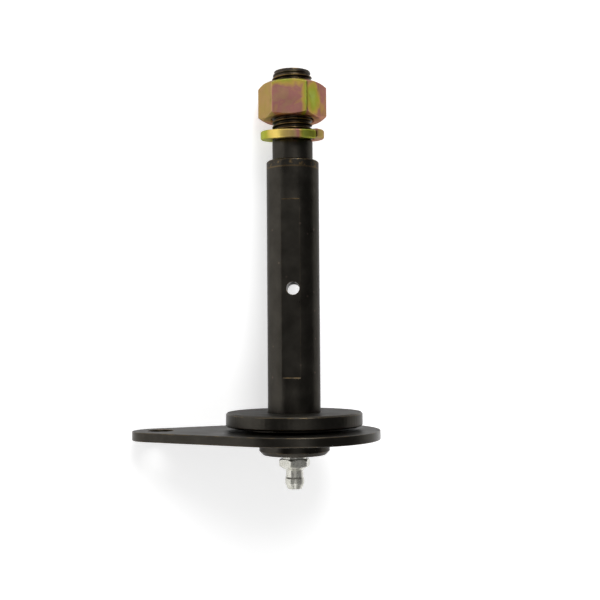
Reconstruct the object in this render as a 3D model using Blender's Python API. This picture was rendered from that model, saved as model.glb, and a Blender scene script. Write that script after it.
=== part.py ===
# Greaseable leaf spring bolt: a turned pin carried by a locking plate, with its
# collar, split spring washer, hexagon nut and grease nipple.
#
# Every piece is modelled in the bolt's own frame, in millimetres: Z runs along the
# bolt's axis towards the nut, the locking plate's underside is at height 0, -Y is the
# side with the milled grease flat in front, and the ear of the plate points to -X.
# An empty then lays the whole bolt on its side, on one straight edge of the plate
# and one corner of the nut, which is how the real one comes to rest on a bench.

import math

import bmesh
import bpy
from mathutils import Matrix, Vector

MM = 0.001
QUARTER_TURN = math.radians(90)

# Vertices closer than this, in millimetres, are one; edges sharper than this stay sharp
MERGE_DISTANCE = 0.0005
SHARP_EDGE = math.radians(28)

# Clearance that every fitted pair of pieces keeps
FIT_GAP = 0.3

# Pin
SHANK_DIA = 18.0
SHANK_LENGTH = 85.7
SHANK_CORNER = 0.4
STUD_DIA = 13.9
STUD_LENGTH = 31.2
STUD_END_DIA = 12.4
STUD_END_LENGTH = 2.4
HEAD_DIA = 24.0
HEAD_HEIGHT = 4.8
HEAD_CHAMFER = 1.3

# Grease way in the pin
CROSS_HOLE_DIA = 4.4
CROSS_HOLE_HEIGHT = 41.8
FLAT_DEPTH = 0.57
FLAT_LENGTH = 60.0
FLAT_TURN = math.radians(-4.4)
GREASE_BORE_DIA = 4.0
GREASE_BORE_OVERRUN = 0.9
DRILL_POINT = math.radians(59)

# Locking plate
PLATE_THICKNESS = 3.1
PLATE_END_DIA = 58.5
PLATE_EDGE = 0.25
PLATE_EDGE_STEPS = 2
EAR_DISTANCE = 45.6
EAR_END_DIA = 19.4
EAR_HOLE_DIA = 9.0

# Collar
COLLAR_DIA = 46.5
COLLAR_THICKNESS = 4.7
COLLAR_CHAMFER = 0.5
COLLAR_BOSS_DIA = 34.0
COLLAR_BOSS_HEIGHT = 1.1

# Spring washer, wound against the hand of the thread and tipped towards the front
WASHER_DIA = 21.9
WASHER_BORE_DIA = 14.9
WASHER_THICKNESS = 2.9
WASHER_STANDOFF = 9.2
WASHER_RISE = 0.5
WASHER_TILT = math.radians(6)
WASHER_CORNER = 0.35
WASHER_SPLIT = math.radians(-40)
WASHER_SPLIT_WIDTH = 0.8

# Nut
NUT_FLATS = 20.7
NUT_CORNERS = 23.6
NUT_FACE_DIA = 19.7
NUT_HEIGHT = 12.1
NUT_STANDOFF = 14.4
NUT_BEVEL = math.radians(30)
NUT_COUNTERSINK = 0.5
NUT_TURN = math.radians(116)

# Grease nipple, with its ball and spring
NIPPLE_STANDOFF = 1.5
NIPPLE_THREAD_DIA = 8.0
NIPPLE_THREAD_LENGTH = 6.7
NIPPLE_FLATS = 9.6
NIPPLE_CORNERS = 10.9
NIPPLE_HEX_HEIGHT = 2.9
NIPPLE_CHAMFER = 0.5
NIPPLE_BEVEL_WIDTH = 1.1
NIPPLE_BEVEL_HEIGHT = 0.6
NIPPLE_NECK_DIA = 5.9
NIPPLE_SHOULDER_LENGTH = 0.9
NIPPLE_NECK_LENGTH = 2.3
NIPPLE_HEAD_DIA = 6.5
NIPPLE_HEAD_RISE = 0.5
NIPPLE_HEAD_LENGTH = 1.6
NIPPLE_TIP_DIA = 4.9
NIPPLE_TIP_LENGTH = 1.9
NIPPLE_PASSAGE_DIA = 2.0
NIPPLE_MOUTH_DIA = 1.6
NIPPLE_MOUTH_LENGTH = 0.8
NIPPLE_TURN = math.radians(19)
BALL_DIA = 2.2
SPRING_WIRE_DIA = 0.3
SPRING_TURNS = 5
SPRING_LENGTH = 5.3

# Depth of the tapped hole past the nipple's thread
TAPPED_RUNOUT = 0.8

# Facets round a full turn
ROUND_STEPS = 72
WIDE_STEPS = 96
SMALL_STEPS = 32
BALL_STEPS = 16
SPRING_STEPS = 12
WIRE_STEPS = 6
HEXAGON_SIDES = 6

# Heights along the bolt's axis, worked out from the sizes above
COLLAR_SEAT = PLATE_THICKNESS + FIT_GAP
COLLAR_UNDERSIDE = COLLAR_SEAT + COLLAR_BOSS_HEIGHT
COLLAR_FACE = COLLAR_UNDERSIDE + COLLAR_THICKNESS
SHOULDER = COLLAR_FACE + SHANK_LENGTH
STUD_END = SHOULDER + STUD_LENGTH
HEAD_FACE = -FIT_GAP - HEAD_HEIGHT
CROSS_HOLE_Z = COLLAR_FACE + CROSS_HOLE_HEIGHT
NUT_FOOT = SHOULDER + NUT_STANDOFF
NUT_TOP = NUT_FOOT + NUT_HEIGHT
NIPPLE_SEAT = HEAD_FACE - NIPPLE_STANDOFF
WASHER_MIDDLE = SHOULDER + WASHER_STANDOFF

# The straight edges of the plate are tangent to its two round ends
EDGE_SLOPE = math.asin((PLATE_END_DIA - EAR_END_DIA) / 2 / EAR_DISTANCE)
# Direction, round the axis, of the straight edge that the bolt lies on
RESTING_SIDE = QUARTER_TURN + EDGE_SLOPE


def material(name, colour, roughness, metallic):
    """A plain Principled material."""
    made = bpy.data.materials.new(name)
    made.use_nodes = True
    shader = made.node_tree.nodes["Principled BSDF"]
    shader.inputs["Base Color"].default_value = (*colour, 1.0)
    shader.inputs["Roughness"].default_value = roughness
    shader.inputs["Metallic"].default_value = metallic
    made.diffuse_color = (*colour, 1.0)
    return made


def finish(name, bm, parent, look):
    """Turn a bmesh in millimetres into a named object, shaded smooth."""
    bmesh.ops.remove_doubles(bm, verts=bm.verts, dist=MERGE_DISTANCE)
    bmesh.ops.recalc_face_normals(bm, faces=bm.faces)
    bmesh.ops.scale(bm, vec=(MM, MM, MM), verts=bm.verts)
    mesh = bpy.data.meshes.new(name)
    bm.to_mesh(mesh)
    bm.free()
    mesh.shade_smooth()
    mesh.set_sharp_from_angle(angle=SHARP_EDGE)
    piece = bpy.data.objects.new(name, mesh)
    piece.parent = parent
    bpy.context.scene.collection.objects.link(piece)
    if look is not None:
        mesh.materials.append(look)
    return piece


def hide(cutter):
    """Keep a cutting body out of renders and drawn as wire."""
    cutter.hide_render = True
    cutter.display_type = "WIRE"
    return cutter


def turned(profile, steps, closed=False):
    """Turn a profile of (radius, height) points about the axis."""
    bm = bmesh.new()
    ring = [bm.verts.new((radius, 0.0, height)) for radius, height in profile]
    pairs = list(zip(ring, ring[1:]))
    if closed:
        pairs.append((ring[-1], ring[0]))
    edges = [bm.edges.new(pair) for pair in pairs]
    bmesh.ops.spin(
        bm,
        geom=ring + edges,
        cent=(0, 0, 0),
        axis=(0, 0, 1),
        dvec=(0, 0, 0),
        angle=math.tau,
        steps=steps,
        use_merge=True,
        use_duplicate=False,
    )
    return bm


def arc(centre, radius, start, end, steps):
    """Points along an arc from one angle to another, both ends included."""
    points = []
    for step in range(steps + 1):
        angle = start + (end - start) * step / steps
        points.append((centre[0] + radius * math.cos(angle), centre[1] + radius * math.sin(angle)))
    return points


def prism(outline, low, high):
    """A flat outline in XY, raised between two heights."""
    bm = bmesh.new()
    base = bm.faces.new([bm.verts.new((x, y, low)) for x, y in outline])
    raised = bmesh.ops.extrude_face_region(bm, geom=[base])
    top = [item for item in raised["geom"] if isinstance(item, bmesh.types.BMVert)]
    bmesh.ops.translate(bm, vec=(0, 0, high - low), verts=top)
    return bm


def rod(radius, low, high, steps):
    """A plain round bar along Z."""
    return turned([(0, low), (radius, low), (radius, high), (0, high)], steps)


def boolean(target, cutter, operation):
    """Leave a live Boolean on the target."""
    cut = target.modifiers.new(cutter.name, "BOOLEAN")
    cut.operation = operation
    cut.solver = "EXACT"
    cut.object = cutter


def trim_to_hexagon(target, flats, turn, low, high):
    """Cut a turned blank to a hexagon across the flats given."""
    corner = flats / math.sqrt(3)
    side_angle = math.tau / HEXAGON_SIDES
    outline = arc((0, 0), corner, turn, turn + math.tau - side_angle, HEXAGON_SIDES - 1)
    cutter = finish(target.name + "_hexagon", prism(outline, low, high), target.parent, None)
    boolean(target, hide(cutter), "INTERSECT")


def make_pin(parent, look):
    """The pin in one piece: head, shank, stud, and the drilled grease way."""
    shank = SHANK_DIA / 2
    head = HEAD_DIA / 2
    bore = GREASE_BORE_DIA / 2
    tapped = NIPPLE_THREAD_DIA / 2 + FIT_GAP
    tapped_end = NIPPLE_SEAT + NIPPLE_THREAD_LENGTH + TAPPED_RUNOUT
    bore_end = CROSS_HOLE_Z + CROSS_HOLE_DIA / 2 + GREASE_BORE_OVERRUN
    profile = [
        (0, bore_end + bore / math.tan(DRILL_POINT)),
        (bore, bore_end),
        (bore, tapped_end + (tapped - bore) / math.tan(DRILL_POINT)),
        (tapped, tapped_end),
        (tapped, HEAD_FACE),
        (head - HEAD_CHAMFER, HEAD_FACE),
        (head, HEAD_FACE + HEAD_CHAMFER),
        (head, -FIT_GAP),
        (shank, -FIT_GAP),
        (shank, SHOULDER - SHANK_CORNER),
        (shank - SHANK_CORNER, SHOULDER),
        (STUD_DIA / 2, SHOULDER),
        (STUD_DIA / 2, STUD_END - STUD_END_LENGTH),
        (STUD_END_DIA / 2, STUD_END),
        (0, STUD_END),
    ]
    pin = finish("pin", turned(profile, ROUND_STEPS), parent, look)
    boolean(pin, make_cross_drill(parent), "DIFFERENCE")
    boolean(pin, make_flat_mill(parent), "DIFFERENCE")
    return pin


def make_cross_drill(parent):
    """Cutter for the hole that lets grease out on both sides of the shank."""
    reach = SHANK_DIA
    bm = rod(CROSS_HOLE_DIA / 2, -reach, reach, SMALL_STEPS)
    bmesh.ops.rotate(bm, cent=(0, 0, 0), matrix=Matrix.Rotation(QUARTER_TURN, 3, "X"), verts=bm.verts)
    bmesh.ops.translate(bm, vec=(0, 0, CROSS_HOLE_Z), verts=bm.verts)
    return hide(finish("pin_cross_drill", bm, parent, None))


def make_flat_mill(parent):
    """Cutter for the shallow milled flat round each mouth of the hole."""
    inner = SHANK_DIA / 2 - FLAT_DEPTH
    outer = SHANK_DIA
    bm = bmesh.new()
    for side in (-1, 1):
        made = bmesh.ops.create_cube(bm, size=1.0)["verts"]
        bmesh.ops.scale(bm, vec=(SHANK_DIA, outer - inner, FLAT_LENGTH), verts=made)
        bmesh.ops.translate(bm, vec=(0, side * (inner + outer) / 2, CROSS_HOLE_Z), verts=made)
    bmesh.ops.rotate(bm, cent=(0, 0, 0), matrix=Matrix.Rotation(FLAT_TURN, 3, "Z"), verts=bm.verts)
    return hide(finish("pin_flat_mill", bm, parent, None))


def make_plate(parent, look):
    """Locking plate: a round end on the pin and an ear with a bolt hole."""
    ear_centre = (-EAR_DISTANCE, 0.0)
    side = QUARTER_TURN + EDGE_SLOPE
    outline = arc((0, 0), PLATE_END_DIA / 2, -side, side, WIDE_STEPS)
    outline += arc(ear_centre, EAR_END_DIA / 2, side, math.tau - side, SMALL_STEPS)
    bm = prism(outline, 0.0, PLATE_THICKNESS)
    rims = [edge for edge in bm.edges if abs(edge.verts[0].co.z - edge.verts[1].co.z) < FIT_GAP]
    bmesh.ops.bevel(
        bm,
        geom=rims,
        offset=PLATE_EDGE,
        offset_type="OFFSET",
        segments=PLATE_EDGE_STEPS,
        profile=0.5,
        affect="EDGES",
        material=-1,
    )
    plate = finish("locking_plate", bm, parent, look)

    pin_bore = rod(SHANK_DIA / 2 + FIT_GAP, -PLATE_THICKNESS, 2 * PLATE_THICKNESS, ROUND_STEPS)
    boolean(plate, hide(finish("plate_pin_bore", pin_bore, parent, None)), "DIFFERENCE")
    ear_hole = rod(EAR_HOLE_DIA / 2, -PLATE_THICKNESS, 2 * PLATE_THICKNESS, SMALL_STEPS)
    bmesh.ops.translate(ear_hole, vec=(-EAR_DISTANCE, 0, 0), verts=ear_hole.verts)
    boolean(plate, hide(finish("plate_ear_hole", ear_hole, parent, None)), "DIFFERENCE")
    return plate


def make_collar(parent, look):
    """Collar that locates in the bracket, with a small boss against the plate."""
    bore = SHANK_DIA / 2 + FIT_GAP
    rim = COLLAR_DIA / 2
    boss = COLLAR_BOSS_DIA / 2
    profile = [
        (bore, COLLAR_SEAT),
        (boss, COLLAR_SEAT),
        (boss, COLLAR_UNDERSIDE),
        (rim - COLLAR_CHAMFER, COLLAR_UNDERSIDE),
        (rim, COLLAR_UNDERSIDE + COLLAR_CHAMFER),
        (rim, COLLAR_FACE - COLLAR_CHAMFER),
        (rim - COLLAR_CHAMFER, COLLAR_FACE),
        (bore, COLLAR_FACE),
    ]
    return finish("collar", turned(profile, WIDE_STEPS, closed=True), parent, look)


def make_spring_washer(parent, look):
    """Split washer: a bar of chamfered section wound one turn, tipped on the stud."""
    inner = WASHER_BORE_DIA / 2
    outer = WASHER_DIA / 2
    foot = WASHER_MIDDLE - (WASHER_THICKNESS + WASHER_RISE) / 2
    top = foot + WASHER_THICKNESS
    chamfer = WASHER_CORNER
    section = [
        (inner, foot + chamfer),
        (inner + chamfer, foot),
        (outer - chamfer, foot),
        (outer, foot + chamfer),
        (outer, top - chamfer),
        (outer - chamfer, top),
        (inner + chamfer, top),
        (inner, top - chamfer),
    ]
    half_split = WASHER_SPLIT_WIDTH / 2 / ((inner + outer) / 2)
    bm = bmesh.new()
    face = bm.faces.new([bm.verts.new((radius, 0.0, height)) for radius, height in section])
    first_end = Matrix.Rotation(WASHER_SPLIT - half_split, 3, "Z")
    bmesh.ops.rotate(bm, cent=(0, 0, 0), matrix=first_end, verts=face.verts)
    bmesh.ops.spin(
        bm,
        geom=[face],
        cent=(0, 0, 0),
        axis=(0, 0, -1),
        dvec=(0, 0, WASHER_RISE / ROUND_STEPS),
        angle=math.tau - 2 * half_split,
        steps=ROUND_STEPS,
        use_merge=False,
        use_duplicate=False,
    )
    tipped = Matrix.Rotation(WASHER_TILT, 3, "X")
    bmesh.ops.rotate(bm, cent=(0, 0, WASHER_MIDDLE), matrix=tipped, verts=bm.verts)
    return finish("spring_washer", bm, parent, look)


def make_nut(parent, look):
    """Hexagon nut, bevelled at both ends, with a corner on the resting side."""
    bore = STUD_DIA / 2 + FIT_GAP
    corner = NUT_CORNERS / 2
    face = NUT_FACE_DIA / 2
    bevel = (corner - face) * math.tan(NUT_BEVEL)
    profile = [
        (bore + NUT_COUNTERSINK, NUT_FOOT),
        (face, NUT_FOOT),
        (corner, NUT_FOOT + bevel),
        (corner, NUT_TOP - bevel),
        (face, NUT_TOP),
        (bore + NUT_COUNTERSINK, NUT_TOP),
        (bore, NUT_TOP - NUT_COUNTERSINK),
        (bore, NUT_FOOT + NUT_COUNTERSINK),
    ]
    nut = finish("nut", turned(profile, WIDE_STEPS, closed=True), parent, look)
    trim_to_hexagon(nut, NUT_FLATS, NUT_TURN, NUT_FOOT - NUT_HEIGHT, NUT_TOP + NUT_HEIGHT)
    return nut


def make_nipple(parent, look):
    """Grease nipple: threaded stem, hexagon, neck and coupling head, bored through."""
    stem = NIPPLE_THREAD_DIA / 2
    stem_end = NIPPLE_SEAT + NIPPLE_THREAD_LENGTH
    corner = NIPPLE_CORNERS / 2
    chamfer = NIPPLE_CHAMFER
    neck = NIPPLE_NECK_DIA / 2
    head = NIPPLE_HEAD_DIA / 2
    tip = NIPPLE_TIP_DIA / 2
    passage = NIPPLE_PASSAGE_DIA / 2
    cavity = BALL_DIA / 2 + FIT_GAP
    mouth = NIPPLE_MOUTH_DIA / 2
    hex_foot = NIPPLE_SEAT - NIPPLE_HEX_HEIGHT
    neck_top = hex_foot - NIPPLE_SHOULDER_LENGTH
    neck_foot = neck_top - NIPPLE_NECK_LENGTH
    head_top = neck_foot - NIPPLE_HEAD_RISE
    head_foot = head_top - NIPPLE_HEAD_LENGTH
    tip_z = head_foot - NIPPLE_TIP_LENGTH
    seat_z = tip_z + NIPPLE_MOUTH_LENGTH + cavity - mouth
    ball_z = seat_z + BALL_DIA / 2
    spring_foot = ball_z + BALL_DIA / 2 + FIT_GAP
    cavity_end = spring_foot + SPRING_LENGTH + FIT_GAP
    profile = [
        (passage, stem_end),
        (stem - chamfer, stem_end),
        (stem, stem_end - chamfer),
        (stem, NIPPLE_SEAT),
        (corner - chamfer, NIPPLE_SEAT),
        (corner, NIPPLE_SEAT - chamfer),
        (corner, hex_foot + NIPPLE_BEVEL_HEIGHT),
        (corner - NIPPLE_BEVEL_WIDTH, hex_foot),
        (neck, neck_top),
        (neck, neck_foot),
        (head, head_top),
        (head, head_foot),
        (tip, tip_z),
        (mouth, tip_z),
        (mouth, seat_z - cavity + mouth),
        (cavity, seat_z),
        (cavity, cavity_end),
        (passage, cavity_end),
    ]
    nipple = finish("grease_nipple", turned(profile, SMALL_STEPS, closed=True), parent, look)
    trim_to_hexagon(nipple, NIPPLE_FLATS, NIPPLE_TURN, tip_z - NIPPLE_FLATS, stem_end + NIPPLE_FLATS)
    return nipple, ball_z, spring_foot


def make_ball(parent, look, height):
    """Steel ball that closes the nipple's mouth."""
    bm = bmesh.new()
    bmesh.ops.create_uvsphere(bm, u_segments=BALL_STEPS, v_segments=BALL_STEPS // 2, radius=BALL_DIA / 2)
    bmesh.ops.translate(bm, vec=(0, 0, height), verts=bm.verts)
    return finish("nipple_ball", bm, parent, look)


def make_spring(parent, look, foot):
    """Coil spring behind the ball: a round wire wound along the axis."""
    wire = SPRING_WIRE_DIA / 2
    coil = BALL_DIA / 2 - wire
    bm = bmesh.new()
    made = bmesh.ops.create_circle(bm, cap_ends=True, radius=wire, segments=WIRE_STEPS)["verts"]
    bmesh.ops.rotate(bm, cent=(0, 0, 0), matrix=Matrix.Rotation(QUARTER_TURN, 3, "X"), verts=made)
    bmesh.ops.translate(bm, vec=(coil, 0, foot + wire), verts=made)
    steps = SPRING_TURNS * SPRING_STEPS
    rise = SPRING_LENGTH - SPRING_WIRE_DIA
    bmesh.ops.spin(
        bm,
        geom=list(bm.faces),
        cent=(0, 0, 0),
        axis=(0, 0, 1),
        dvec=(0, 0, rise / steps),
        angle=math.tau * SPRING_TURNS,
        steps=steps,
        use_merge=False,
        use_duplicate=False,
    )
    return finish("nipple_spring", bm, parent, look)


def lay_down(frame, nut, pieces):
    """Lay the bolt on its plate's straight edge and the nut's corner, centred over the origin."""
    depsgraph = bpy.context.evaluated_depsgraph_get()
    side = Vector((math.cos(RESTING_SIDE), math.sin(RESTING_SIDE), 0))
    edge_height = PLATE_THICKNESS - PLATE_EDGE
    leans = []
    for vertex in nut.evaluated_get(depsgraph).data.vertices:
        place = vertex.co / MM
        leans.append(math.atan2(PLATE_END_DIA / 2 - place.dot(side), place.z - edge_height))
    roll = Matrix.Rotation(QUARTER_TURN - RESTING_SIDE, 4, "Z")
    frame.matrix_world = Matrix.Rotation(-QUARTER_TURN - min(leans), 4, "X") @ roll
    bpy.context.view_layer.update()

    depsgraph = bpy.context.evaluated_depsgraph_get()
    corners = []
    for piece in pieces:
        shown = piece.evaluated_get(depsgraph)
        corners += [shown.matrix_world @ vertex.co for vertex in shown.data.vertices]
    low = Vector([min(corner[axis] for corner in corners) for axis in range(3)])
    high = Vector([max(corner[axis] for corner in corners) for axis in range(3)])
    middle = (low + high) / 2
    frame.location = -Vector((middle.x, middle.y, low.z))
    bpy.context.view_layer.update()


def build():
    for old in list(bpy.data.objects):
        bpy.data.objects.remove(old)

    blackened = material("blackened_steel", (0.028, 0.026, 0.024), 0.42, 0.85)
    blackened_plate = material("blackened_plate", (0.030, 0.029, 0.027), 0.48, 0.80)
    blackened_collar = material("blackened_collar", (0.026, 0.025, 0.023), 0.42, 0.85)
    yellow_zinc = material("yellow_zinc_nut", (0.52, 0.40, 0.24), 0.28, 1.0)
    yellow_zinc_washer = material("yellow_zinc_washer", (0.60, 0.50, 0.22), 0.28, 1.0)
    bright_zinc = material("bright_zinc", (0.72, 0.72, 0.68), 0.22, 1.0)
    ball_steel = material("ball_steel", (0.75, 0.75, 0.76), 0.12, 1.0)
    spring_steel = material("spring_steel", (0.45, 0.45, 0.46), 0.30, 1.0)

    frame = bpy.data.objects.new("lying_frame", None)
    bpy.context.scene.collection.objects.link(frame)

    nut = make_nut(frame, yellow_zinc)
    nipple, ball_z, spring_foot = make_nipple(frame, bright_zinc)
    pieces = [
        make_pin(frame, blackened),
        make_plate(frame, blackened_plate),
        make_collar(frame, blackened_collar),
        make_spring_washer(frame, yellow_zinc_washer),
        nut,
        nipple,
    ]
    pieces.append(make_ball(frame, ball_steel, ball_z))
    pieces.append(make_spring(frame, spring_steel, spring_foot))
    lay_down(frame, nut, pieces)


build()
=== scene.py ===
import math

import bmesh
import bpy
from mathutils import Matrix, Vector


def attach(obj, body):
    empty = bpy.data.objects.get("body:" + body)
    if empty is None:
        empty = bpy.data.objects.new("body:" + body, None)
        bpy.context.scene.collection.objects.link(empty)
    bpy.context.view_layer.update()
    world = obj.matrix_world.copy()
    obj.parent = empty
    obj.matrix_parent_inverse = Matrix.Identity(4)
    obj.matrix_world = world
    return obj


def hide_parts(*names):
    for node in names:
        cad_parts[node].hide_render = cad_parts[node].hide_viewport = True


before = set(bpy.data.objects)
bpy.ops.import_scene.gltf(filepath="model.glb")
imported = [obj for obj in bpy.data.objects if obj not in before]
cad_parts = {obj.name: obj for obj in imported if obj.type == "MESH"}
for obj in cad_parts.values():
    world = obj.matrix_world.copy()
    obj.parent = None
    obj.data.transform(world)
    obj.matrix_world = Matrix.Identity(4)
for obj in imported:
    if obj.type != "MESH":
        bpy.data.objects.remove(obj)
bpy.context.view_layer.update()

MM = 0.001
QUARTER_TURN = math.radians(90)

# How the bolt lies: its lean off the floor, the side it rests on, and its axis's foot
LEAN = math.radians(8.453303117)
RESTING_SIDE = math.radians(115.3868673)
AXIS_FOOT = Vector((0.0108248, -0.0543816, 0.0293512))
TIPPED_OVER = Matrix.Rotation(-QUARTER_TURN - LEAN, 4, "X")
ROLLED_ROUND = Matrix.Rotation(QUARTER_TURN - RESTING_SIDE, 4, "Z")
BOLT_TURN = TIPPED_OVER @ ROLLED_ROUND
BOLT_FRAME = Matrix.Translation(AXIS_FOOT) @ BOLT_TURN
BOLT_MM = BOLT_FRAME @ Matrix.Scale(MM, 4)
BOLT_AXES = BOLT_TURN.to_3x3()
BOLT_AXIS = BOLT_AXES @ Vector((0, 0, 1))

# Camera, in the bolt's frame, in millimetres and radians
CAMERA_PLACE = Vector((7.591, -334.803, 32.531))
CAMERA_TURN = -0.01605
CAMERA_PITCH = 0.044167
CAMERA_ROLL = -0.007238
CAMERA_CLIP = 0.01
SENSOR = 36.0
FOCAL_PIXELS = 978.80
PHOTO_PIXELS = 600

# Sweep: a floor that curves up to a wall all round, in metres
SWEEP_RADIUS = 2.5
SWEEP_CURVE = 0.15
SWEEP_HEIGHT = 0.70
SWEEP_CURVE_STEPS = 8
SWEEP_STEPS = 96
SWEEP_MERGE = 0.0001
SWEEP_COLOUR = (0.80, 0.80, 0.80, 1.0)
FLOOR_GLOW = 0.58
WALL_GLOW = 0.95
# Share of the sweep's glow that the metal mirrors on the bolt's right, and where it sets in
RIGHT_SHARE = 0.42
RIGHT_FROM = 0.05
RIGHT_FULL = 0.40

# Key light
KEY_DIRECTION = BOLT_AXES @ Vector((0.243, -0.722, 0.644))
KEY_STRENGTH = 1.6
KEY_SPREAD = math.radians(28)

# Room light: it grows brighter towards the nut's end
ROOM_AXIS = BOLT_AXES @ Vector((-0.146, -0.497, 0.852))
ROOM_LEVELS = [(0.07, 0.14), (0.44, 0.11), (0.54, 0.16), (0.635, 0.28), (0.70, 0.52), (0.80, 0.85)]

# White card that faces the grease nipple: its level, and the cosines at its rim and inside it
CARD_DIRECTION = BOLT_AXES @ Vector((0.10, -0.825, -0.556))
CARD_LEVEL = 1.5
CARD_RIM = 0.89
CARD_INSIDE = 0.96

# Shank: the shoulder at its top, and the scuffs below it, a fine line with spots above it
SHOULDER = 94.9
SHOULDER_FADE = 0.1
SCUFF_LINE = 92.2
SCUFF_LINE_EDGE = 0.35
SCUFF_LINE_CORE = 0.10
SCUFF_LINE_SHARE = 0.30
SPOTS_FADE = 0.3
SPOTS_SCALE = 750.0
SPOTS_SHARE = 0.55

# Stud and its thread, M14 x 1.5. The crest's and the flank's widths are shares of the pitch
STUD_RADIUS = 6.95
STUD_CUT = 100.0
STUD_END = 126.1
STUD_END_RADIUS = 6.2
STUD_END_LENGTH = 2.4
THREAD_PITCH = 1.5
THREAD_DEPTH = 0.90
THREAD_CREST = 0.125
THREAD_FLANK = 0.354
THREAD_START = 101.6
THREAD_RUN_IN = 2.0
THREAD_STEPS = 72

# Rubbed crests: how far below the crest, and above the thread's start, they set in and are full
CREST_BELOW = (0.28, 0.05)
CREST_ABOVE = (1.0, 2.5)
CREST_PATCH_SCALE = 260.0

# How near points merge, in millimetres: in the thread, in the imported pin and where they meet
THREAD_MERGE = 0.004
PIN_MERGE = 0.002
JOIN_MERGE = 0.01
CUT_TOLERANCE = 0.0001
FLAT_ENOUGH = math.radians(0.2)
SHARP_EDGE = math.radians(12)

# Nut: the angle of its first corner, and its two faces
NUT_TURN = math.radians(116)
NUT_FOOT = 109.3
NUT_TOP = 121.4
NUT_SIDES = 6

# Blackened steel: its darker and lighter patches, its flat faces, dust and rubbed edges
BLACK_DARK = (0.034, 0.031, 0.026, 1.0)
BLACK_LIGHT = (0.056, 0.051, 0.043, 1.0)
BLACK_FACE = (0.010, 0.009, 0.007, 1.0)
BLACK_FACE_SHARE = 0.45
BLACK_FACE_ROUGHER = 0.20
DUST = (0.12, 0.09, 0.075, 1.0)
DUST_SCALE = 420.0
BRONZE = (0.24, 0.16, 0.07, 1.0)
BLACK_GRAIN = {"Fine Scale": 2200.0, "Broad Scale": 130.0}
BLACK_WEAR = {
    "Radius": 0.00030, "Patch Scale": 350.0, "Onset": 0.9985, "Full": 0.94, "Amount": 0.75,
}
BLACK_ROUGH = (0.25, 0.38)
BLACK_BUMP = 0.12
# Cosine of the angle between a face's normal and the axis: where it sets in and is full
FACED = (0.90, 0.98)
# What the lathe's marks and the tooth add to the surface's height
MARKS_SHARE = 0.6
TOOTH_SHARE = 0.4

# Yellow zinc: its film's colours in order of tone, its smut, rubbed edges and the golden patch,
# which is a painted highlight
FILM_COLOURS = [
    (0.00, (0.35, 0.27, 0.09)),
    (0.22, (0.40, 0.25, 0.13)),
    (0.42, (0.39, 0.165, 0.15)),
    (0.60, (0.50, 0.34, 0.08)),
    (0.78, (0.36, 0.38, 0.05)),
    (1.00, (0.40, 0.50, 0.12)),
]
SMUT = (0.20, 0.13, 0.07, 1.0)
SMUT_SHARE = 0.35
RUBBED_ZINC = (0.62, 0.55, 0.40, 1.0)
# Painted highlight: a bright gold laid over the washer's film on one part of the ring
GOLDEN_HIGHLIGHT = (0.94, 0.72, 0.18, 1.0)
ZINC_GRAIN = {"Fine Scale": 3000.0, "Broad Scale": 260.0}
ZINC_WEAR = {"Radius": 0.00022, "Patch Scale": 500.0, "Amount": 0.6}
ZINC_BUMP = 0.15

# Nut's zinc. Flat by flat: the tone in the middle (red), how it changes to the rim (green,
# 0.5 is no change) and how much it grows along the upper and the right edge (blue)
NUT_TONES = [
    (0.000, (0.30, 0.60, 0.10)),
    (0.167, (0.10, 0.48, 0.00)),
    (0.333, (0.38, 0.50, 0.44)),
    (0.500, (0.94, 0.11, 0.00)),
    (0.667, (0.55, 0.40, 0.20)),
    (0.833, (0.15, 0.55, 0.30)),
]
NUT_SPOT_OFFSET = 0.42
NUT_SPOT_TALL = 0.6
NUT_SPOT_REACH = 0.65
NUT_RIGHT_EDGE = (0.68, 1.0)
NUT_UPPER_EDGE = (0.45, 0.95)
NUT_CLOUD = 0.60
NUT_ROUGH = (0.28, 0.42)

# Washer's zinc: its tone by the turn round the bolt, and where the golden patch, a painted
# highlight, comes and goes
WASHER_TONES = [
    (0.00, 0.35), (0.50, 0.95), (0.60, 0.82), (0.64, 0.66), (0.672, 0.60), (0.685, 0.16),
    (0.76, 0.12), (0.81, 0.82), (0.885, 0.80), (0.90, 0.05), (0.95, 0.05), (1.00, 0.35),
]
HIGHLIGHT_COMES = (0.605, 0.675)
HIGHLIGHT_GOES = (0.76, 0.68)
WASHER_CLOUD = 0.30
WASHER_ROUGH = (0.36, 0.48)

# Bright zinc and bare steel of the grease nipple, its ball and its spring
NIPPLE_ZINC = (0.80, 0.79, 0.72, 1.0)
NIPPLE_STAIN = (0.50, 0.49, 0.42, 1.0)
BALL_STEEL = (0.75, 0.75, 0.76, 1.0)
BALL_STAIN = (0.50, 0.50, 0.50, 1.0)
SPRING_STEEL = (0.45, 0.45, 0.46, 1.0)
SPRING_STAIN = (0.28, 0.26, 0.24, 1.0)
STAIN_SHARE = 0.7
PLATED_GRAIN = {"Fine Scale": 3500.0, "Broad Scale": 420.0}
PLATED_WEAR = {"Radius": 0.0002, "Patch Scale": 900.0, "Amount": 0.5}
PLATED_BUMP = 0.10

# What the finishes keep of their gleam at grazing angles
PIN_RIM = (0.58, 0.58, 0.58, 1.0)
COLLAR_RIM = (0.72, 0.72, 0.72, 1.0)
PLATE_RIM = (0.95, 0.95, 0.95, 1.0)
ZINC_RIM = (0.60, 0.52, 0.42, 1.0)

# Depth of the surface's tooth, in metres, and how finely rounded edges are traced
TOOTH_DEPTH = 0.0001
EDGE_SAMPLES = 8

# Textures: the noise's roughness, the lathe marks' scale round the axis, a speck's radii in
# its cell and its strength, and the passivate's cloud
NOISE_ROUGHNESS = 0.55
TURNING_ACROSS = 60.0
SPECK_RIM = 0.22
SPECK_CORE = 0.06
SPECK_STRENGTH = 0.7
CLOUD_SCALE = 220.0
CLOUD_DISTORTION = 0.6

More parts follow.
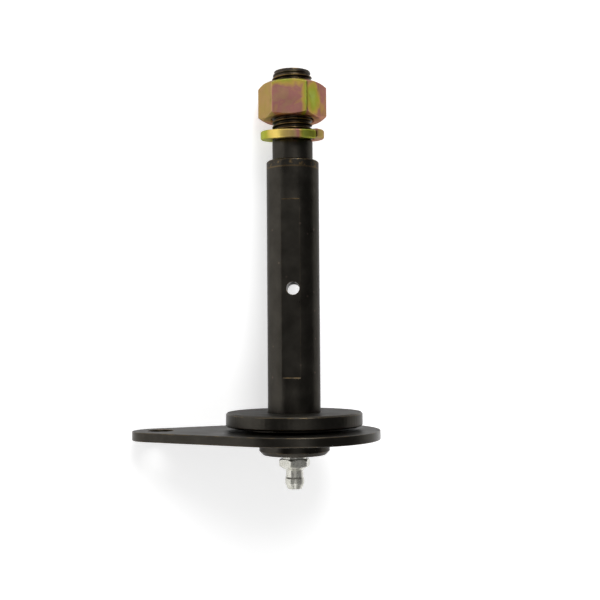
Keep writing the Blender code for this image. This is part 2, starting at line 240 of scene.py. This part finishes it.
# Where in a noise's range, 0 to 1, each effect sets in and is full
BROAD_SPAN = (0.3, 0.7)
BLACK_ROUGH_SPAN = (0.25, 0.75)
WEAR_SPAN = (0.38, 0.64)
SPOTS_SPAN = (0.51, 0.66)
CREST_SPAN = (0.30, 0.60)
SMUT_SPAN = (0.60, 0.75)
STAIN_SPAN = (0.45, 0.70)


# Node helpers


def fill(tree, sockets, values):
    """Give each named socket a plain value, or link it to the socket that feeds it."""
    for name, value in values.items():
        if isinstance(value, bpy.types.NodeSocket):
            tree.links.new(value, sockets[name])
        else:
            sockets[name].default_value = value


def put(tree, kind, inputs=None, **settings):
    """Add a node with its settings and its inputs."""
    made = tree.nodes.new(kind)
    for name, value in settings.items():
        setattr(made, name, value)
    fill(tree, made.inputs, inputs or {})
    return made


def maths(tree, operation, *terms, clamp=False):
    """The result of one Math node."""
    inputs = dict(enumerate(terms))
    return put(tree, "ShaderNodeMath", inputs, operation=operation, use_clamp=clamp).outputs[0]


def plus(tree, first, second, clamp=False):
    """The sum of two values."""
    return maths(tree, "ADD", first, second, clamp=clamp)


def minus(tree, first, second):
    """The first value less the second."""
    return maths(tree, "SUBTRACT", first, second)


def times(tree, first, second, clamp=False):
    """The product of two values."""
    return maths(tree, "MULTIPLY", first, second, clamp=clamp)


def dot(tree, first, second):
    """The dot product of two directions."""
    inputs = {0: first, 1: second}
    return put(tree, "ShaderNodeVectorMath", inputs, operation="DOT_PRODUCT").outputs["Value"]


def parts(tree, place):
    """The X, Y and Z of a vector."""
    return put(tree, "ShaderNodeSeparateXYZ", {0: place}).outputs


def blend(tree, mask, under, over):
    """One colour laid over another where the mask is 1."""
    inputs = {0: mask, 6: under, 7: over}
    return put(tree, "ShaderNodeMix", inputs, data_type="RGBA", clamp_factor=True).outputs[2]


def spread(tree, value, low, high, to_low=0.0, to_high=1.0):
    """A value's range mapped to another range, held at its ends."""
    inputs = {0: value, 1: low, 2: high, 3: to_low, 4: to_high}
    return put(tree, "ShaderNodeMapRange", inputs, clamp=True).outputs[0]


def ramp(tree, value, stops, interpolation="LINEAR"):
    """A colour ramp from (position, colour) stops."""
    made = put(tree, "ShaderNodeValToRGB", {0: value})
    band = made.color_ramp
    band.interpolation = interpolation
    while len(band.elements) < len(stops):
        band.elements.new(1.0)
    for element, (position, colour) in zip(band.elements, stops):
        element.position = position
        element.color = (*colour, 1.0)
    return made.outputs[0]


def channels(tree, colour):
    """The red, green and blue of a colour."""
    return put(tree, "ShaderNodeSeparateColor", {0: colour}).outputs


def level_ramp(tree, value, stops):
    """A value that follows (position, level) stops."""
    greys = [(position, (level, level, level)) for position, level in stops]
    return channels(tree, ramp(tree, value, greys))[0]


def on_bolt(tree):
    """Coordinates in the bolt's own frame, in metres, with Z along its axis."""
    place = put(tree, "ShaderNodeTexCoord").outputs["Object"]
    inputs = {"Vector": place, "Location": AXIS_FOOT, "Rotation": BOLT_TURN.to_euler()}
    return put(tree, "ShaderNodeMapping", inputs, vector_type="TEXTURE").outputs[0]


def noise(tree, place, scale, detail=3.0, distortion=0.0):
    """Noise value, 0 to 1."""
    inputs = {
        "Vector": place,
        "Scale": scale,
        "Detail": detail,
        "Roughness": NOISE_ROUGHNESS,
        "Distortion": distortion,
    }
    return put(tree, "ShaderNodeTexNoise", inputs).outputs[0]


def bumped(tree, strength, height, normal):
    """A normal that a height dents."""
    inputs = {"Strength": strength, "Distance": TOOTH_DEPTH, "Height": height, "Normal": normal}
    return put(tree, "ShaderNodeBump", inputs).outputs[0]


# Shader groups: effects that the finishes share


def new_group(name, inputs, outputs):
    """An empty shader group with named sockets, and its input and output nodes."""
    tree = bpy.data.node_groups.new(name, "ShaderNodeTree")
    for label, kind, value in inputs:
        socket = tree.interface.new_socket(label, in_out="INPUT", socket_type=kind)
        if value is not None:
            socket.default_value = value
    for label, kind in outputs:
        tree.interface.new_socket(label, in_out="OUTPUT", socket_type=kind)
    return tree, tree.nodes.new("NodeGroupInput").outputs, tree.nodes.new("NodeGroupOutput")


def use_group(tree, group, place, values):
    """Place a group in a material with its coordinates and its own values."""
    made = put(tree, "ShaderNodeGroup", node_tree=group)
    fill(tree, made.inputs, {"Vector": place, **values})
    return made.outputs


def edge_wear_group():
    """Rubbed edges: a mask along rounded edges, broken up, and the rounded normal."""
    inputs = [
        ("Vector", "NodeSocketVector", None),
        ("Radius", "NodeSocketFloat", 0.0003),
        ("Patch Scale", "NodeSocketFloat", 400.0),
        ("Onset", "NodeSocketFloat", 0.995),
        ("Full", "NodeSocketFloat", 0.80),
        ("Amount", "NodeSocketFloat", 1.0),
    ]
    outputs = [("Mask", "NodeSocketFloat"), ("Normal", "NodeSocketVector")]
    tree, given, result = new_group("edge_wear", inputs, outputs)
    radius = {"Radius": given["Radius"]}
    rounded = put(tree, "ShaderNodeBevel", radius, samples=EDGE_SAMPLES).outputs[0]
    flat = put(tree, "ShaderNodeNewGeometry").outputs["Normal"]
    turned_away = spread(tree, dot(tree, rounded, flat), given["Onset"], given["Full"])
    patches = noise(tree, given["Vector"], given["Patch Scale"])
    worn = times(tree, turned_away, spread(tree, patches, *WEAR_SPAN))
    mask = times(tree, worn, given["Amount"], clamp=True)
    fill(tree, result.inputs, {"Mask": mask, "Normal": rounded})
    return tree


def grain_group():
    """Fine tooth of a blackened or plated surface over broad uneven patches."""
    inputs = [
        ("Vector", "NodeSocketVector", None),
        ("Fine Scale", "NodeSocketFloat", 2500.0),
        ("Broad Scale", "NodeSocketFloat", 120.0),
    ]
    outputs = [("Fine", "NodeSocketFloat"), ("Broad", "NodeSocketFloat")]
    tree, given, result = new_group("grain", inputs, outputs)
    fine = noise(tree, given["Vector"], given["Fine Scale"], detail=2.0)
    broad = noise(tree, given["Vector"], given["Broad Scale"], detail=4.0)
    fill(tree, result.inputs, {"Fine": fine, "Broad": broad})
    return tree


def turning_group():
    """Marks that a lathe leaves: fine lines round the axis."""
    inputs = [("Vector", "NodeSocketVector", None), ("Lines", "NodeSocketFloat", 4000.0)]
    tree, given, result = new_group("turning_marks", inputs, [("Height", "NodeSocketFloat")])
    inputs = {0: TURNING_ACROSS, 1: TURNING_ACROSS, 2: given["Lines"]}
    scales = put(tree, "ShaderNodeCombineXYZ", inputs).outputs[0]
    inputs = {0: given["Vector"], 1: scales}
    drawn = put(tree, "ShaderNodeVectorMath", inputs, operation="MULTIPLY").outputs[0]
    fill(tree, result.inputs, {"Height": noise(tree, drawn, 1.0, detail=2.0)})
    return tree


def specks_group():
    """Scattered small specks, such as dust and pinpricks of rust."""
    inputs = [
        ("Vector", "NodeSocketVector", None),
        ("Scale", "NodeSocketFloat", 500.0),
        ("Share", "NodeSocketFloat", 0.1),
    ]
    tree, given, result = new_group("specks", inputs, [("Mask", "NodeSocketFloat")])
    inputs = {"Vector": given["Vector"], "Scale": given["Scale"]}
    cells = put(tree, "ShaderNodeTexVoronoi", inputs).outputs
    round_dot = spread(tree, cells["Distance"], SPECK_RIM, SPECK_CORE, 0.0, SPECK_STRENGTH)
    chosen = maths(tree, "LESS_THAN", channels(tree, cells["Color"])[0], given["Share"])
    fill(tree, result.inputs, {"Mask": times(tree, round_dot, chosen)})
    return tree


def passivate_group():
    """Yellow passivated zinc: its colour runs from tan through pink to yellow-green."""
    inputs = [
        ("Vector", "NodeSocketVector", None),
        ("Tone", "NodeSocketFloat", 0.5),
        ("Cloud", "NodeSocketFloat", 0.3),
    ]
    tree, given, result = new_group("yellow_passivate", inputs, [("Color", "NodeSocketColor")])
    cloud = noise(tree, given["Vector"], CLOUD_SCALE, distortion=CLOUD_DISTORTION)
    shift = times(tree, minus(tree, cloud, 0.5), given["Cloud"])
    tone = plus(tree, given["Tone"], shift, clamp=True)
    fill(tree, result.inputs, {"Color": ramp(tree, tone, FILM_COLOURS)})
    return tree


EDGE_WEAR = edge_wear_group()
GRAIN = grain_group()
TURNING = turning_group()
SPECKS = specks_group()
PASSIVATE = passivate_group()


# Finishes


def new_material(name):
    """A material with its node tree and its Principled shader."""
    made = bpy.data.materials.new(name)
    made.use_nodes = True
    return made, made.node_tree, made.node_tree.nodes["Principled BSDF"]


def blackened_steel(name, lines, speck_share, rim, threaded=False):
    """Chemically blackened steel, oily and satin, with bronze where its edges are rubbed."""
    made, tree, shader = new_material(name)
    place = on_bolt(tree)
    grain = use_group(tree, GRAIN, place, BLACK_GRAIN)
    marks = use_group(tree, TURNING, place, {"Lines": lines})["Height"]
    wear = use_group(tree, EDGE_WEAR, place, BLACK_WEAR)
    dust = use_group(tree, SPECKS, place, {"Scale": DUST_SCALE, "Share": speck_share})["Mask"]
    bare = wear["Mask"]
    if threaded:
        bare = maths(tree, "MAXIMUM", bare, crest_mask(tree, place))
        bare = maths(tree, "MAXIMUM", bare, scuff_mask(tree, place))
    # Faces across the bolt's axis are darker and rougher than the turned sides
    along = dot(tree, put(tree, "ShaderNodeNewGeometry").outputs["Normal"], BOLT_AXIS)
    faced = spread(tree, maths(tree, "ABSOLUTE", along), *FACED)
    colour = blend(tree, spread(tree, grain["Broad"], *BROAD_SPAN), BLACK_DARK, BLACK_LIGHT)
    colour = blend(tree, times(tree, faced, BLACK_FACE_SHARE), colour, BLACK_FACE)
    colour = blend(tree, dust, colour, DUST)
    colour = blend(tree, bare, colour, BRONZE)
    rough = spread(tree, grain["Broad"], *BLACK_ROUGH_SPAN, *BLACK_ROUGH)
    rough = plus(tree, rough, times(tree, faced, BLACK_FACE_ROUGHER))
    height = plus(tree, times(tree, marks, MARKS_SHARE), times(tree, grain["Fine"], TOOTH_SHARE))
    fill(tree, shader.inputs, {
        "Base Color": colour,
        "Metallic": 1.0,
        "Roughness": rough,
        "Specular Tint": rim,
        "Normal": bumped(tree, BLACK_BUMP, height, wear["Normal"]),
    })
    return made


def scuff_mask(tree, place):
    """Handling marks on the shank under the shoulder: a fine line and bronze spots above it."""
    height = parts(tree, place)[2]
    off_line = maths(tree, "ABSOLUTE", minus(tree, height, SCUFF_LINE * MM))
    edge, core = SCUFF_LINE_EDGE * MM, SCUFF_LINE_CORE * MM
    line = spread(tree, off_line, edge, core, 0.0, SCUFF_LINE_SHARE)
    above = spread(tree, height, SCUFF_LINE * MM, (SCUFF_LINE + SPOTS_FADE) * MM)
    below_stud = spread(tree, height, (SHOULDER + SHOULDER_FADE) * MM, SHOULDER * MM)
    spots = noise(tree, place, SPOTS_SCALE, detail=4.0)
    spots = spread(tree, spots, *SPOTS_SPAN, 0.0, SPOTS_SHARE)
    spotted = times(tree, times(tree, above, below_stud), spots)
    return maths(tree, "MAXIMUM", line, spotted)


def crest_mask(tree, place):
    """Thread crests that the nut has rubbed to brown."""
    part = parts(tree, place)
    flat = put(tree, "ShaderNodeCombineXYZ", {0: part[0], 1: part[1], 2: 0.0}).outputs[0]
    reach = put(tree, "ShaderNodeVectorMath", {0: flat}, operation="LENGTH").outputs["Value"]
    out = spread(tree, reach, *((STUD_RADIUS - below) * MM for below in CREST_BELOW))
    along = spread(tree, part[2], *((THREAD_START + above) * MM for above in CREST_ABOVE))
    patches = spread(tree, noise(tree, place, CREST_PATCH_SCALE), *CREST_SPAN)
    return times(tree, times(tree, out, along), patches)


def nut_zinc():
    """Yellow zinc on the nut: each flat has its own tone in the middle and another at its rim."""
    made, tree, shader = new_material("nut_yellow_zinc")
    place = on_bolt(tree)
    part = parts(tree, place)
    angle = maths(tree, "ARCTAN2", part[1], part[0])
    turns = maths(tree, "DIVIDE", minus(tree, angle, NUT_TURN), math.tau)
    sixths = times(tree, maths(tree, "FRACT", turns), NUT_SIDES)
    side = maths(tree, "DIVIDE", plus(tree, maths(tree, "FLOOR", sixths), 0.5), NUT_SIDES)
    tone = channels(tree, ramp(tree, side, NUT_TONES, "CONSTANT"))
    # Across the flat and up it, from -1 to 1
    off_middle = times(tree, minus(tree, maths(tree, "FRACT", sixths), 0.5), 2.0)
    height = spread(tree, part[2], NUT_FOOT * MM, NUT_TOP * MM, -1.0, 1.0)
    off_spot = plus(tree, off_middle, NUT_SPOT_OFFSET)
    upright = times(tree, times(tree, height, height), NUT_SPOT_TALL)
    rim = plus(tree, times(tree, off_spot, off_spot), upright)
    rim = maths(tree, "MINIMUM", rim, NUT_SPOT_REACH)
    slope = times(tree, minus(tree, tone[1], 0.5), 2.0)
    level = plus(tree, tone[0], times(tree, rim, slope))
    right_edge = spread(tree, off_middle, *NUT_RIGHT_EDGE)
    upper_edge = spread(tree, height, *NUT_UPPER_EDGE)
    edge = maths(tree, "MAXIMUM", right_edge, upper_edge)
    level = plus(tree, level, times(tree, edge, tone[2]))
    finish_zinc(tree, shader, place, level, NUT_CLOUD, NUT_ROUGH)
    return made


def washer_zinc():
    """Yellow zinc on the washer: the tone drifts round the ring, with one golden patch that is a
    painted highlight.
    """
    made, tree, shader = new_material("washer_yellow_zinc")
    place = on_bolt(tree)
    part = parts(tree, place)
    angle = maths(tree, "ARCTAN2", part[1], part[0])
    turns = maths(tree, "FRACT", maths(tree, "DIVIDE", angle, math.tau))
    level = level_ramp(tree, turns, WASHER_TONES)
    # Where the painted golden highlight lies round the ring
    comes = spread(tree, turns, *HIGHLIGHT_COMES)
    goes = spread(tree, turns, *HIGHLIGHT_GOES)
    golden_highlight = maths(tree, "MINIMUM", comes, goes)
    finish_zinc(tree, shader, place, level, WASHER_CLOUD, WASHER_ROUGH, golden_highlight)
    return made


def finish_zinc(tree, shader, place, tone, cloud, rough, golden_highlight=None):
    """What nut and washer share: the passivate's colour, tooth, smut and paler rubbed edges."""
    colour = use_group(tree, PASSIVATE, place, {"Tone": tone, "Cloud": cloud})["Color"]
    grain = use_group(tree, GRAIN, place, ZINC_GRAIN)
    wear = use_group(tree, EDGE_WEAR, place, ZINC_WEAR)
    # The golden patch, where given, is a painted highlight laid over the film's colour
    if golden_highlight is not None:
        colour = blend(tree, golden_highlight, colour, GOLDEN_HIGHLIGHT)
    smutty = spread(tree, grain["Broad"], *SMUT_SPAN, 0.0, SMUT_SHARE)
    colour = blend(tree, smutty, colour, SMUT)
    colour = blend(tree, wear["Mask"], colour, RUBBED_ZINC)
    fill(tree, shader.inputs, {
        "Base Color": colour,
        "Metallic": 1.0,
        "Roughness": spread(tree, grain["Broad"], *BROAD_SPAN, *rough),
        "Specular Tint": ZINC_RIM,
        "Normal": bumped(tree, ZINC_BUMP, grain["Fine"], wear["Normal"]),
    })


def plated_steel(name, colour, stain, rough, metallic=1.0):
    """Bright zinc or bare steel with faint stains and softened edges."""
    made, tree, shader = new_material(name)
    place = on_bolt(tree)
    grain = use_group(tree, GRAIN, place, PLATED_GRAIN)
    wear = use_group(tree, EDGE_WEAR, place, PLATED_WEAR)
    stained = spread(tree, grain["Broad"], *STAIN_SPAN, 0.0, STAIN_SHARE)
    shade = blend(tree, stained, colour, stain)
    shade = blend(tree, wear["Mask"], shade, stain)
    fill(tree, shader.inputs, {
        "Base Color": shade,
        "Metallic": metallic,
        "Roughness": spread(tree, grain["Broad"], *BROAD_SPAN, *rough),
        "Normal": bumped(tree, PLATED_BUMP, grain["Fine"], wear["Normal"]),
    })
    return made


# New pieces


def threaded_stud():
    """The stud above the cut: a thread profile turned once while it climbs one pitch."""
    bm = bmesh.new()
    low = STUD_CUT - THREAD_PITCH
    turns = math.ceil((STUD_END - low) / THREAD_PITCH) + 1
    forms = [
        (0.0, 0.0),
        (THREAD_CREST, 0.0),
        (THREAD_CREST + THREAD_FLANK, THREAD_DEPTH),
        (1.0 - THREAD_FLANK, THREAD_DEPTH),
    ]
    line = []
    for turn in range(turns):
        for share, depth in forms:
            height = low + THREAD_PITCH * (turn + share)
            line.append(bm.verts.new((STUD_RADIUS - depth, 0, height)))
    edges = [bm.edges.new(pair) for pair in zip(line, line[1:])]
    bmesh.ops.spin(
        bm, geom=line + edges, cent=(0, 0, 0), axis=(0, 0, 1),
        dvec=(0, 0, THREAD_PITCH / THREAD_STEPS),
        angle=math.tau, steps=THREAD_STEPS, use_merge=False, use_duplicate=False,
    )
    for vert in bm.verts:
        reach = vert.co.xy.length
        run_in = min(max((vert.co.z - THREAD_START) / THREAD_RUN_IN, 0.0), 1.0)
        reach = STUD_RADIUS - (STUD_RADIUS - reach) * run_in
        taper = min(max((vert.co.z - STUD_END + STUD_END_LENGTH) / STUD_END_LENGTH, 0.0), 1.0)
        reach = min(reach, STUD_RADIUS + (STUD_END_RADIUS - STUD_RADIUS) * taper)
        # What lies past the end folds into one clean ring
        if vert.co.z >= STUD_END:
            reach = STUD_END_RADIUS
        vert.co.xy = vert.co.xy.normalized() * reach
        vert.co.z = min(max(vert.co.z, STUD_CUT), STUD_END)
    bmesh.ops.remove_doubles(bm, verts=bm.verts, dist=THREAD_MERGE)
    near_end = STUD_END - JOIN_MERGE
    top = [edge for edge in bm.edges if edge.is_boundary and edge.verts[0].co.z > near_end]
    bmesh.ops.contextual_create(bm, geom=top)
    return bm


def threaded_pin():
    """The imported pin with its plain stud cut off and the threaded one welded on."""
    bm = threaded_stud()
    body = bmesh.new()
    body.from_mesh(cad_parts["pin"].data)
    body.transform(BOLT_MM.inverted())
    bmesh.ops.remove_doubles(body, verts=body.verts, dist=PIN_MERGE)
    bmesh.ops.dissolve_limit(
        body, angle_limit=FLAT_ENOUGH, verts=body.verts, edges=body.edges,
        use_dissolve_boundaries=False,
    )
    everything = body.verts[:] + body.edges[:] + body.faces[:]
    bmesh.ops.bisect_plane(
        body, geom=everything, dist=CUT_TOLERANCE,
        plane_co=(0, 0, STUD_CUT), plane_no=(0, 0, 1), clear_outer=True,
    )
    kept = bpy.data.meshes.new("pin_below_cut")
    body.to_mesh(kept)
    body.free()
    bm.from_mesh(kept)
    bpy.data.meshes.remove(kept)
    bmesh.ops.remove_doubles(bm, verts=bm.verts, dist=JOIN_MERGE)
    bmesh.ops.recalc_face_normals(bm, faces=bm.faces)
    # All faces now look one way, which has to be outward
    if bm.calc_volume(signed=True) < 0:
        bmesh.ops.reverse_faces(bm, faces=bm.faces)
    for face in bm.faces:
        face.smooth = True
    for edge in bm.edges:
        edge.smooth = edge.calc_face_angle(0.0) < SHARP_EDGE
    bm.transform(BOLT_MM)
    return new_object("threaded_pin", bm)


def new_object(name, bm):
    """A finished object at the origin, whose place is in its mesh."""
    mesh = bpy.data.meshes.new(name)
    bm.to_mesh(mesh)
    bm.free()
    made = bpy.data.objects.new(name, mesh)
    bpy.context.scene.collection.objects.link(made)
    return made


# Studio


def sweep():
    """Floor that curves up to a wall all round."""
    bm = bmesh.new()
    bend = SWEEP_RADIUS - SWEEP_CURVE
    profile = [(0.0, 0.0), (bend, 0.0)]
    for step in range(1, SWEEP_CURVE_STEPS + 1):
        angle = QUARTER_TURN * step / SWEEP_CURVE_STEPS
        out = bend + SWEEP_CURVE * math.sin(angle)
        profile.append((out, SWEEP_CURVE * (1 - math.cos(angle))))
    profile.append((SWEEP_RADIUS, SWEEP_HEIGHT))
    line = [bm.verts.new((radius, 0, height)) for radius, height in profile]
    edges = [bm.edges.new(pair) for pair in zip(line, line[1:])]
    bmesh.ops.spin(
        bm, geom=line + edges, cent=(0, 0, 0), axis=(0, 0, 1), dvec=(0, 0, 0),
        angle=math.tau, steps=SWEEP_STEPS, use_merge=True, use_duplicate=False,
    )
    bmesh.ops.remove_doubles(bm, verts=bm.verts, dist=SWEEP_MERGE)
    made = new_object("sweep", bm)
    made.data.shade_smooth()
    made.data.materials.append(sweep_paper())


def sweep_paper():
    """White paper: it stays white for the camera, keeps shadows and is mirrored by the metal."""
    made, tree, shader = new_material("sweep_paper")
    tree.nodes.remove(shader)
    rays = put(tree, "ShaderNodeLightPath").outputs
    part = parts(tree, put(tree, "ShaderNodeTexCoord").outputs["Object"])
    level = spread(tree, part[2], 0.0, SWEEP_CURVE, FLOOR_GLOW, WALL_GLOW)
    share = spread(tree, part[0], RIGHT_FROM, RIGHT_FULL, 1.0, RIGHT_SHARE)
    mirrored = plus(tree, rays["Is Glossy Ray"], rays["Is Transmission Ray"], clamp=True)
    seen = plus(tree, rays["Is Camera Ray"], times(tree, mirrored, share), clamp=True)
    glow = put(tree, "ShaderNodeEmission", {"Strength": times(tree, seen, level)})
    paper = put(tree, "ShaderNodeBsdfDiffuse", {"Color": SWEEP_COLOUR})
    both = put(tree, "ShaderNodeAddShader", {0: paper.outputs[0], 1: glow.outputs[0]})
    tree.links.new(both.outputs[0], tree.nodes["Material Output"].inputs["Surface"])
    return made


def lights():
    """Grey room light with a white card in it, and one broad key from the nut's side."""
    world = bpy.data.worlds.new("room")
    bpy.context.scene.world = world
    world.use_nodes = True
    tree = world.node_tree
    direction = put(tree, "ShaderNodeTexCoord").outputs["Generated"]
    room = level_ramp(tree, dot(tree, direction, ROOM_AXIS), ROOM_LEVELS)
    near_card = dot(tree, direction, CARD_DIRECTION)
    card = spread(tree, near_card, CARD_RIM, CARD_INSIDE, 0.0, CARD_LEVEL)
    inputs = {"Color": (1.0, 1.0, 1.0, 1.0), "Strength": plus(tree, room, card)}
    fill(tree, tree.nodes["Background"].inputs, inputs)
    key = bpy.data.lights.new("key", "SUN")
    key.energy = KEY_STRENGTH
    key.angle = KEY_SPREAD
    lamp = bpy.data.objects.new("key", key)
    lamp.rotation_euler = KEY_DIRECTION.to_track_quat("Z", "Y").to_euler()
    bpy.context.scene.collection.objects.link(lamp)


def camera():
    """The photograph's camera, fitted to its edges."""
    data = bpy.data.cameras.new("camera")
    data.sensor_width = SENSOR
    data.lens = FOCAL_PIXELS / PHOTO_PIXELS * SENSOR
    data.clip_start = CAMERA_CLIP
    forward = Vector((
        math.sin(CAMERA_TURN) * math.cos(CAMERA_PITCH),
        math.cos(CAMERA_TURN) * math.cos(CAMERA_PITCH),
        math.sin(CAMERA_PITCH),
    ))
    level = forward.cross(Vector((0, 0, 1))).normalized()
    upright = level.cross(forward)
    right = math.cos(CAMERA_ROLL) * level + math.sin(CAMERA_ROLL) * upright
    up = math.cos(CAMERA_ROLL) * upright - math.sin(CAMERA_ROLL) * level
    facing = Matrix((right, up, -forward)).transposed().to_4x4()
    made = bpy.data.objects.new("camera", data)
    made.matrix_world = BOLT_FRAME @ Matrix.Translation(CAMERA_PLACE * MM) @ facing
    bpy.context.scene.collection.objects.link(made)
    bpy.context.scene.camera = made


def dress(node, look):
    """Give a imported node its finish."""
    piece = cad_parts[node]
    piece.data.materials.clear()
    piece.data.materials.append(look)


camera()
sweep()
lights()
bpy.context.scene.view_settings.view_transform = "Standard"

# Each blackened piece has its own lathe marks, share of specks and gleam
pin_look = blackened_steel(
    "pin_blackened_steel", lines=3500.0, speck_share=0.10, rim=PIN_RIM, threaded=True,
)
plate_look = blackened_steel(
    "plate_blackened_steel", lines=300.0, speck_share=0.12, rim=PLATE_RIM,
)
collar_look = blackened_steel(
    "collar_blackened_steel", lines=3000.0, speck_share=0.08, rim=COLLAR_RIM,
)
nipple_look = plated_steel(
    "nipple_bright_zinc", NIPPLE_ZINC, NIPPLE_STAIN, rough=(0.20, 0.34), metallic=0.65,
)
ball_look = plated_steel("ball_steel", BALL_STEEL, BALL_STAIN, rough=(0.08, 0.16))
spring_look = plated_steel("spring_steel", SPRING_STEEL, SPRING_STAIN, rough=(0.25, 0.40))

pin = threaded_pin()
pin.data.materials.append(pin_look)
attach(pin, "root")
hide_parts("pin")

dress("locking_plate", plate_look)
dress("collar", collar_look)
dress("nut", nut_zinc())
dress("spring_washer", washer_zinc())
dress("grease_nipple", nipple_look)
dress("nipple_ball", ball_look)
dress("nipple_spring", spring_look)
